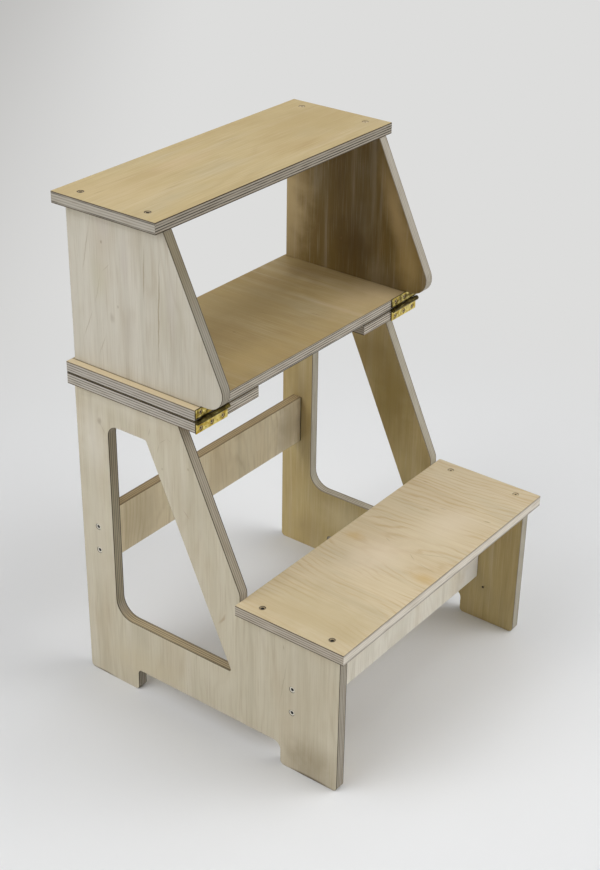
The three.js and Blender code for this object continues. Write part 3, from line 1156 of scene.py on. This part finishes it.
def ease_edges(piece: bpy.types.Object, width: float) -> None:
    """Rounds a piece's corners with a Bevel modifier that keeps its flat faces flat.

    Args:
        piece: The piece.
        width: How far in from each corner the rounding starts, in metres.
    """
    bevel = piece.modifiers.new("eased_edges", "BEVEL")
    bevel.width = width
    bevel.segments = 2
    bevel.limit_method = "ANGLE"
    bevel.angle_limit = EASED_CORNER
    bevel.harden_normals = True
    bevel.use_clamp_overlap = False
    bevel.loop_slide = False


def ring_faces(rings: int, steps: int) -> list[list[int]]:
    """Joins rings of points, each to the next: point k of a ring is joined to point k + 1.

    Args:
        rings: How many rings there are.
        steps: How many points each has.

    Returns:
        Four point numbers for each face.
    """
    row = np.arange(rings - 1)[:, None] * steps
    here, after = np.arange(steps), (np.arange(steps) + 1) % steps
    faces = np.stack([row + here, row + steps + here, row + steps + after, row + after], axis=2)
    return faces.reshape(-1, 4).tolist()


def turned_mesh(
    name: str, radius: np.ndarray, height: np.ndarray, basis: np.ndarray
) -> bpy.types.Mesh:
    """Makes a closed surface round an axis.

    The point at row i and angle a is at radius[i, a] from the axis and height[i, a] along it. The
    first and last rows lie on the axis, and each is one point.

    Args:
        name: The mesh's name.
        radius: Radii in metres, a row for each ring and a column for each angle.
        height: Heights in metres, in the same order, falling from the first row to the last.
        basis: A 4 by 4 matrix that sets the axis, its +Z, in place.

    Returns:
        The mesh, with its faces outwards.
    """
    rings, steps = radius.shape
    angle = np.linspace(0, 2 * np.pi, steps, endpoint=False)
    x, y = radius * np.cos(angle), radius * np.sin(angle)
    inner = np.stack([x, y, height], axis=2)[1:-1].reshape(-1, 3)
    first, last = height[0].mean(), height[-1].mean()
    points = np.vstack([inner, [[0, 0, first], [0, 0, last]]])
    placed = points @ basis[:3, :3].T + basis[:3, 3]
    here, after = np.arange(steps), (np.arange(steps) + 1) % steps
    top, foot = len(inner), len(inner) + 1
    low = (rings - 3) * steps
    cap = np.stack([np.full(steps, top), here, after], axis=1)
    tip = np.stack([np.full(steps, foot), low + after, low + here], axis=1)
    mesh = bpy.data.meshes.new(name)
    mesh.from_pydata(placed, [], [*ring_faces(rings - 2, steps), *cap.tolist(), *tip.tolist()])
    mesh.shade_smooth()
    mesh.set_sharp_from_angle(angle=TURNED_CORNER)
    return mesh


def standing_on(place: Vector, way: Vector, turn: float) -> np.ndarray:
    """Gives the basis of a fastener whose head faces back along its way.

    Args:
        place: The middle of the head's face.
        way: The direction that the fastener points in.
        turn: How far it is turned about its own axis, in radians.

    Returns:
        A 4 by 4 matrix.
    """
    facing = (-way).to_track_quat("Z", "Y").to_matrix().to_4x4()
    return np.array(Matrix.Translation(place) @ facing @ Matrix.Rotation(turn, 4, "Z"))


@dataclass(frozen=True)
class Screw:
    """A countersunk screw with a cross recess, in metres."""

    length: float
    head: float
    neck: float
    shank: float
    tip: float
    recess: float
    slot: float
    recess_depth: float
    pitch: float
    thread: float
    metal: Metal
    painted_shade: float
    steps: int = 48

    HEAD_RINGS = 17
    RIM_RINGS = 4
    CONE_RINGS = 4
    SHANK_RINGS = 84
    RIM = 0.07
    RECESS_EASE = 0.22
    ARM_FALL = 0.45
    RIDGE = 5
    RIM_SHADE_FROM = 0.86

    def sunk(self, radius: np.ndarray, angle: np.ndarray) -> np.ndarray:
        """Gives the recess as a share of its depth.

        A point lies in the cross where it is less than half a slot from one of the two lines
        through the middle and less than the recess from the middle; each limit is a soft step.

        Args:
            radius: Distances from the axis.
            angle: Angles about it.

        Returns:
            1 in the cross, 0 outside it, and less towards the ends of its arms.
        """
        x, y = radius * np.cos(angle), radius * np.sin(angle)
        soft = self.slot * self.RECESS_EASE
        off = np.minimum(np.abs(x), np.abs(y))
        arm = np.clip((self.slot / 2 - off) / soft + 0.5, 0, 1)
        end = np.clip((self.recess / 2 - radius) / soft + 0.5, 0, 1)
        return arm * end * (1 - self.ARM_FALL * radius / (self.recess / 2))

    def mesh(self, name: str, basis: np.ndarray, has_recess: bool) -> bpy.types.Mesh:
        """Makes the screw as one surface: head, rim, cone, threaded shank and tip.

        Args:
            name: The mesh's name.
            basis: The matrix that sets it in place.
            has_recess: Whether its head shows a driver's recess.

        Returns:
            The mesh, with the recess, and a ring of painted shade at the head's rim, as a share on
            its points.
        """
        angle = np.linspace(0, 2 * np.pi, self.steps, endpoint=False)[None, :]
        around = np.ones_like(angle)
        rim = self.head * self.RIM
        flat = np.linspace(0, self.head - rim, self.HEAD_RINGS)[:, None] * around
        sunk = self.sunk(flat, angle) if has_recess else np.zeros_like(flat)
        curve = np.linspace(0, math.pi / 2, self.RIM_RINGS)[1:, None] * around
        rounded = self.head - rim + rim * np.sin(curve)
        fall = -rim + rim * np.cos(curve)
        cone = np.linspace(0, 1, self.CONE_RINGS)[1:, None] * around
        cone_radius = self.head + (self.shank - self.head) * cone
        cone_height = -2 * rim - (self.neck - 2 * rim) * cone
        run = np.linspace(0, 1, self.SHANK_RINGS)[1:, None] * around
        shank_height = -self.neck - (self.length - self.neck) * run
        phase = (-shank_height / self.pitch + angle / (2 * np.pi)) % 1
        ridge = np.clip(1 - np.abs(phase - 0.5) * self.RIDGE, 0, 1) * self.thread
        taper = np.clip((self.length + shank_height) / self.tip, 0, 1)
        shank_radius = (self.shank - self.thread + ridge) * taper
        radius = np.vstack([flat, rounded, cone_radius, shank_radius])
        height = np.vstack([-sunk * self.recess_depth, fall, cone_height, shank_height])
        mesh = turned_mesh(name, radius, height, basis)
        depth = np.zeros(len(mesh.vertices), dtype=np.float32)
        inner = sunk[1:].reshape(-1)
        # A ring of painted shade at the head's rim.
        ringed = np.linspace(0, 1, self.HEAD_RINGS)[1:].repeat(self.steps) > self.RIM_SHADE_FROM
        depth[: len(ringed)] = np.where(ringed, self.painted_shade, 0)
        depth[: len(inner)] = np.maximum(depth[: len(inner)], inner)
        depth[-2] = sunk[0, 0]
        mesh.attributes.new("recess", "FLOAT", "POINT").data.foreach_set("value", depth)
        return mesh


WOOD_SCREW = Screw(
    length=0.040,
    head=0.0038,
    neck=0.0033,
    shank=0.0020,
    tip=0.005,
    recess=0.0050,
    slot=0.0030,
    recess_depth=0.0018,
    pitch=0.0036,
    thread=0.0005,
    metal=Metal.DULL_ZINC,
    painted_shade=0.6,
)
HINGE_SCREW = Screw(
    length=0.012,
    head=0.0027,
    neck=0.0015,
    shank=0.0013,
    tip=0.003,
    recess=0.0031,
    slot=0.0018,
    recess_depth=0.0009,
    pitch=0.0018,
    thread=0.0003,
    metal=Metal.YELLOW_ZINC,
    painted_shade=0.3,
)
BRIGHT_SCREW = replace(WOOD_SCREW, painted_shade=0.0, recess=0.0048, slot=0.0038, metal=Metal.ZINC)
PLAIN_SCREW = replace(WOOD_SCREW, painted_shade=0.0, recess=0.0028, slot=0.0018)
HEADS = {"left": WOOD_SCREW, "right": PLAIN_SCREW}


@dataclass
class Fittings:
    """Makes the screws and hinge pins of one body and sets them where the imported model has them."""

    body: str
    metals: dict[Metal, bpy.types.Material]
    leaf_edge: float = 0.00015
    count: int = 0

    TURN = 2.4
    PIN_STEPS = 32
    DOME_RINGS = 7
    DOME = 0.45

    def screw(self, node: str, kind: Screw, way: Vector, has_recess: bool = True) -> None:
        """Sets a screw in place of a node.

        Args:
            node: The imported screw's name.
            kind: The screw's sizes.
            way: The direction that it points in.
            has_recess: Whether its head shows a driver's recess.
        """
        low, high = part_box(node)
        middle = (low + high) / 2
        reach = abs((high - low).dot(way)) / 2
        turn = self.count * self.TURN
        self.count += 1
        basis = standing_on(middle - way * reach, way, turn)
        mesh = kind.mesh(node, basis, has_recess)
        piece = new_object(f"{node}_zinc", mesh, self.metals[kind.metal])
        self.hand_over(piece, node)

    def pin(self, node: str) -> None:
        """Sets a hinge pin with domed ends in place of a node.

        Args:
            node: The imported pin's name.
        """
        low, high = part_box(node)
        middle, half = (low + high) / 2, (high.x - low.x) / 2
        radius = (high.z - low.z) / 2
        dome = np.linspace(0, math.pi / 2, self.DOME_RINGS)
        rise = radius * self.DOME
        start = half - rise + rise * np.cos(dome)
        across = np.concatenate([radius * np.sin(dome), radius * np.sin(dome[::-1])])
        along = np.concatenate([start, -start[::-1]])
        rings = np.ones((1, self.PIN_STEPS))
        basis = standing_on(middle, Vector((-1, 0, 0)), 0.0)
        mesh = turned_mesh(node, across[:, None] * rings, along[:, None] * rings, basis)
        self.hand_over(new_object(f"{node}_brass", mesh, self.metals[Metal.BRASS]), node)

    def leaf(self, node: str) -> None:
        """Sets a hinge leaf with softened edges in place of a node.

        Args:
            node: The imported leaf's name.
        """
        mesh = whole_mesh(node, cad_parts[node].data)
        piece = new_object(f"{node}_brass", mesh, self.metals[Metal.BRASS])
        ease_edges(piece, self.leaf_edge)
        self.hand_over(piece, node)

    def hinge_half(self, side: str, half: str) -> None:
        """Sets one leaf of a hinge and its three screws.

        Args:
            side: The hinge's side.
            half: Which half of the hinge, the upper or the lower.
        """
        for index in HINGE_SCREWS:
            self.screw(f"{side}_hinge_{half}_screw_{index}", HINGE_SCREW, BACK)
        self.leaf(f"{side}_hinge_{half}_leaf")

    def hand_over(self, piece: bpy.types.Object, node: str) -> None:
        """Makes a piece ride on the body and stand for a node.

        Args:
            piece: The piece.
            node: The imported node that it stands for.
        """
        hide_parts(node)
        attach(piece, self.body)
        log.info("%s stands for %s on %s", piece.name, node, self.body)


DOWN = Vector((0, 0, -1))
UP = Vector((0, 0, 1))
BACK = Vector((0, 1, 0))
SIDES = {"left": -1, "right": 1}
ENDS = ("front", "rear")
LEVELS = ("upper", "lower")
HINGE_SCREWS = (1, 2, 3)


def corner_screws(prefix: str) -> tuple[str, ...]:
    """Names the four screws at a board's corners."""
    return tuple(f"{prefix}_{side}_{end}" for side in SIDES for end in ENDS)


@dataclass
class Assembly:
    """Boards and fittings that ride on one body."""

    body: str
    metals: dict[Metal, bpy.types.Material]
    eased: float = 0.0004
    fittings: Fittings = field(init=False)

    def __post_init__(self) -> None:
        """Starts the fittings of this body."""
        self.fittings = Fittings(self.body, self.metals)

    def board(
        self,
        node: str,
        thin: Axis,
        grain: Axis,
        finish: PlyFinish,
        slot: str,
        screws: tuple[str, ...] = (),
    ) -> None:
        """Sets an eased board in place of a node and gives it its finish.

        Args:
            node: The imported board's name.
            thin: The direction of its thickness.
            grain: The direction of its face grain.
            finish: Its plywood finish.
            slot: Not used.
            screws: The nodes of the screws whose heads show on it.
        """
        sheet = Sheet(*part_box(node), thin, grain)
        # A ring of painted shade round each screw head that shows on the board.
        countersink_shade = tuple(sheet.countersink_shade(screw) for screw in screws)
        material = replace(finish, marks=finish.marks + countersink_shade).material(f"{node}_ply", sheet)
        mesh = whole_mesh(node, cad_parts[node].data)
        piece = new_object(f"{node}_birch", mesh, material)
        ease_edges(piece, self.eased)
        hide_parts(node)
        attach(piece, self.body)
        log.info("%s stands for %s on %s", piece.name, node, self.body)


@dataclass
class LowerFrame(Assembly):
    """The frame that stands on the floor: two side frames, the tread, two rails and two cleats."""

    def build(self) -> None:
        """Builds the whole frame."""
        self.boards()
        self.fasteners()

    def boards(self) -> None:
        """Dresses the boards."""
        self.board("left_side_frame", Axis.X, Axis.Z, LEFT_SIDE_FRAME, "side_veneer")
        self.board("right_side_frame", Axis.X, Axis.Z, RIGHT_SIDE_FRAME, "side_veneer")
        screws = corner_screws("tread_screw")
        self.board("lower_tread", Axis.Z, Axis.Y, LOWER_TREAD, "face_veneer", screws)
        self.board("rear_rail", Axis.Y, Axis.Z, REAR_RAIL, "rail_veneer")
        self.board("front_rail", Axis.Y, Axis.Z, FRONT_RAIL, "rail_veneer")
        for side, sign in SIDES.items():
            cleat = replace(CLEAT, seed=CLEAT.seed + sign)
            self.board(f"{side}_cleat", Axis.Z, Axis.Y, cleat, "side_veneer")

    def fasteners(self) -> None:
        """Makes the screws, the fixed leaves and the pins."""
        for side, sign in SIDES.items():
            inward = Vector((-sign, 0, 0))
            for end in ENDS:
                self.fittings.screw(f"tread_screw_{side}_{end}", HEADS[side], DOWN)
                self.fittings.screw(f"cleat_screw_{side}_{end}", WOOD_SCREW, DOWN, False)
                for level in LEVELS:
                    self.fittings.screw(f"{end}_rail_screw_{side}_{level}", BRIGHT_SCREW, inward)
            self.fittings.hinge_half(side, "lower")
            self.fittings.pin(f"{side}_hinge_pin")


@dataclass
class UpperBox(Assembly):
    """The box that folds: the shelf, two sides and the top board."""

    def build(self) -> None:
        """Builds the whole box."""
        self.boards()
        self.fasteners()

    def boards(self) -> None:
        """Dresses the boards."""
        self.board("left_upper_side", Axis.X, Axis.Z, LEFT_UPPER_SIDE, "side_veneer")
        self.board("right_upper_side", Axis.X, Axis.Z, RIGHT_UPPER_SIDE, "side_veneer")
        self.board("shelf_board", Axis.Z, Axis.Y, SHELF_BOARD, "face_veneer")
        screws = corner_screws("top_board_screw")
        self.board("top_board", Axis.Z, Axis.X, TOP_BOARD, "face_veneer", screws)

    def fasteners(self) -> None:
        """Makes the screws and the moving leaves."""
        for side in SIDES:
            for end in ENDS:
                self.fittings.screw(f"top_board_screw_{side}_{end}", HEADS[side], DOWN)
                self.fittings.screw(f"shelf_screw_{side}_{end}", WOOD_SCREW, UP, False)
            self.fittings.hinge_half(side, "upper")


def direction(azimuth: float, elevation: float) -> Vector:
    """Gives the direction from the stool towards a viewpoint.

    Args:
        azimuth: 0 is in front of the stool and 90 on its right, in degrees.
        elevation: Degrees above the horizon.

    Returns:
        A vector of length 1.
    """
    a, e = math.radians(azimuth), math.radians(elevation)
    return Vector((math.sin(a) * math.cos(e), -math.cos(a) * math.cos(e), math.sin(e)))


@dataclass
class Lamp:
    """A soft square lamp, at an azimuth and elevation in degrees round the stool."""

    name: str
    azimuth: float
    elevation: float
    share: float
    distance: float = 3.0
    width: float = 2.4

    def build(self, aim: Vector) -> None:
        """Sets the lamp up so that it gives a share of full light to a surface that faces it.

        Args:
            aim: The point that it faces.
        """
        data = bpy.data.lights.new(self.name, "AREA")
        data.shape = "SQUARE"
        data.size = self.width
        data.energy = math.pi**2 * self.distance**2 * self.share
        lamp = bpy.data.objects.new(self.name, data)
        way = direction(self.azimuth, self.elevation)
        lamp.location = aim + way * self.distance
        lamp.rotation_euler = way.to_track_quat("Z", "Y").to_euler()
        lamp.visible_camera = False
        lamp.visible_glossy = False
        bpy.context.scene.collection.objects.link(lamp)


SHOWING_RAYS = ("Is Camera Ray", "Is Glossy Ray", "Is Transmission Ray")


@dataclass
class Studio:
    """The pale floor with its far wall, the lamps and the camera."""

    aim: Vector = field(default_factory=lambda: Vector((0, 0, 0.3)))
    radius: float = 7.0
    bend: float = 2.5
    wall: float = 5.0
    floor_colour: Colour = paint(232, 233, 234)
    backdrop_colour: Colour = paint(221, 221, 220)
    shade_colour: Colour = paint(188, 187, 185)
    shade_way: tuple[float, float] = (0.606, 0.795)
    shade_reach: tuple[float, float] = (0.3, 1.25)
    lit_reach: tuple[float, float] = (0.5, 1.3)
    ambient: float = 0.03
    lamps: tuple[Lamp, ...] = (
        Lamp("front", 25, 32, 0.50),
        Lamp("front_right", 50, 32, 0.12),
        Lamp("front_right_high", 45, 55, 0.14),
        Lamp("right_high", 90, 55, 0.16),
        Lamp("left_rear", -110, 32, 0.43),
        Lamp("left_rear_high", -135, 55, 0.29),
        Lamp("overhead", 0, 90, 0.13),
    )
    place: tuple[float, float, float] = (-1.4487, -1.0630, 1.3391)
    azimuth: float = -53.125
    elevation: float = 29.038
    roll: float = 0.87
    lens: float = 64.963

    FLAT_RINGS = 8
    CURVE_RINGS = 24
    STEPS = 96

    def build(self) -> None:
        """Sets up the floor, the light and the camera."""
        self.floor()
        self.world()
        for lamp in self.lamps:
            lamp.build(self.aim)
        self.camera()

    def floor(self) -> None:
        """Makes a floor that curves up into a round wall.

        The profile is flat out to radius - bend, then a quarter circle of radius bend, then
        upright to the wall's height; it is turned once round Z.
        """
        flat = np.linspace(0, self.radius - self.bend, self.FLAT_RINGS)[1:]
        curve = np.linspace(0, math.pi / 2, self.CURVE_RINGS)[1:]
        out = np.concatenate([flat, self.radius - self.bend + self.bend * np.sin(curve)])
        high = np.concatenate([np.zeros(len(flat)), self.bend - self.bend * np.cos(curve)])
        out, high = np.append(out, self.radius), np.append(high, self.wall)
        steps = self.STEPS
        angle = np.linspace(0, 2 * np.pi, steps, endpoint=False)
        x, y = out[:, None] * np.cos(angle), out[:, None] * np.sin(angle)
        points = np.stack([x, y, high[:, None] * np.ones(steps)], axis=2).reshape(-1, 3)
        points = np.vstack([points, [[0, 0, 0]]])
        here, after = np.arange(steps), (np.arange(steps) + 1) % steps
        middle = np.stack([np.full(steps, len(points) - 1), here, after], axis=1)
        mesh = bpy.data.meshes.new("floor")
        mesh.from_pydata(points, [], [*ring_faces(len(out), steps), *middle.tolist()])
        mesh.shade_smooth()
        new_object("floor", mesh, self.floor_material())

    def floor_material(self) -> bpy.types.Material:
        """Makes a matt pale floor that turns, away from the stool, into a backdrop whose painted
        shade deepens towards the back left.

        From below it is clear, so that the stool's underside can be looked at.

        Returns:
            The material.
        """
        recipe = Recipe("pale_floor")
        matt = recipe.node("ShaderNodeBsdfDiffuse", {}, {"Color": self.floor_colour})
        spot = recipe.coordinates.outputs["Object"]
        x, y, _ = recipe.parts(spot)
        # Painted shade on the backdrop, deepening towards the back left.
        left, rear = self.shade_way
        shaded = recipe.ease(y * rear - x * left, *self.shade_reach)
        shade = recipe.blend(shaded, self.backdrop_colour, self.shade_colour)
        shown = recipe.node("ShaderNodeEmission", {}, {"Color": shade, "Strength": 1.0})
        path = recipe.node("ShaderNodeLightPath")
        rays = [Signal(recipe, path.outputs[kind]) for kind in SHOWING_RAYS]
        seen = reduce(Signal.most, rays)
        distance = recipe.node("ShaderNodeVectorMath", {"operation": "LENGTH"}, {0: spot})
        far = recipe.ease(Signal(recipe, distance.outputs["Value"]), *self.lit_reach)
        sockets = {0: far * seen, 1: matt.outputs[0], 2: shown.outputs[0]}
        above = recipe.node("ShaderNodeMixShader", {}, sockets)
        under = Signal(recipe, recipe.node("ShaderNodeNewGeometry").outputs["Backfacing"]) * rays[0]
        clear = recipe.node("ShaderNodeBsdfTransparent")
        sockets = {0: under, 1: above.outputs[0], 2: clear.outputs[0]}
        return recipe.finish(recipe.node("ShaderNodeMixShader", {}, sockets))

    def world(self) -> None:
        """Gives an even light from all round, and shows a pale sky above the wall."""
        world = bpy.data.worlds.new("studio")
        world.use_nodes = True
        nodes, link = world.node_tree.nodes, world.node_tree.links.new
        light, shown = nodes["Background"], nodes.new("ShaderNodeBackground")
        light.inputs["Color"].default_value = (1.0, 1.0, 1.0, 1.0)
        light.inputs["Strength"].default_value = self.ambient
        shown.inputs["Color"].default_value = self.backdrop_colour
        path, mixed = nodes.new("ShaderNodeLightPath"), nodes.new("ShaderNodeMixShader")
        seen = path.outputs[SHOWING_RAYS[0]]
        for ray in SHOWING_RAYS[1:]:
            either = nodes.new("ShaderNodeMath")
            either.operation = "MAXIMUM"
            link(seen, either.inputs[0])
            link(path.outputs[ray], either.inputs[1])
            seen = either.outputs[0]
        link(seen, mixed.inputs[0])
        link(light.outputs[0], mixed.inputs[1])
        link(shown.outputs[0], mixed.inputs[2])
        link(mixed.outputs[0], nodes["World Output"].inputs["Surface"])
        bpy.context.scene.world = world

    def camera(self) -> None:
        """Sets the camera at the portrait's own place and angle."""
        back = direction(self.azimuth, self.elevation)
        level = direction(self.azimuth + 90, 0)
        tilt = math.radians(self.roll)
        upward = back.cross(level)
        right = level * math.cos(tilt) + upward * math.sin(tilt)
        top = upward * math.cos(tilt) - level * math.sin(tilt)
        turn = Matrix((right, top, back)).transposed().to_4x4()
        data = bpy.data.cameras.new("portrait")
        data.lens = self.lens
        data.sensor_width = 36.0
        camera = bpy.data.objects.new("portrait", data)
        camera.matrix_world = Matrix.Translation(Vector(self.place)) @ turn
        bpy.context.scene.collection.objects.link(camera)
        bpy.context.scene.camera = camera
        bpy.context.scene.view_settings.view_transform = "Standard"


def main() -> None:
    """Builds the stool and its studio."""
    logging.basicConfig(level=logging.INFO, format="%(name)s: %(message)s")
    Studio().build()
    dull = ZincFinish(bright=paint(198, 178, 140), worn=paint(160, 138, 102), dark=paint(20, 15, 9))
    yellow = ZincFinish(bright=paint(214, 188, 136), worn=paint(176, 144, 88), metallic=0.4)
    screws = tuple(
        f"left_hinge_{half}_screw_{index}" for half in ("lower", "upper") for index in HINGE_SCREWS
    )
    metals = {
        Metal.ZINC: ZincFinish().material(Metal.ZINC.value),
        Metal.DULL_ZINC: dull.material(Metal.DULL_ZINC.value),
        Metal.YELLOW_ZINC: yellow.material(Metal.YELLOW_ZINC.value),
        Metal.BRASS: BrassFinish().material(Metal.BRASS.value, screws),
    }
    for assembly in (LowerFrame("lower_frame", metals), UpperBox("upper_box", metals)):
        assembly.build()
        log.info("%s is built", assembly.body)


if __name__ == "__main__":
    main()
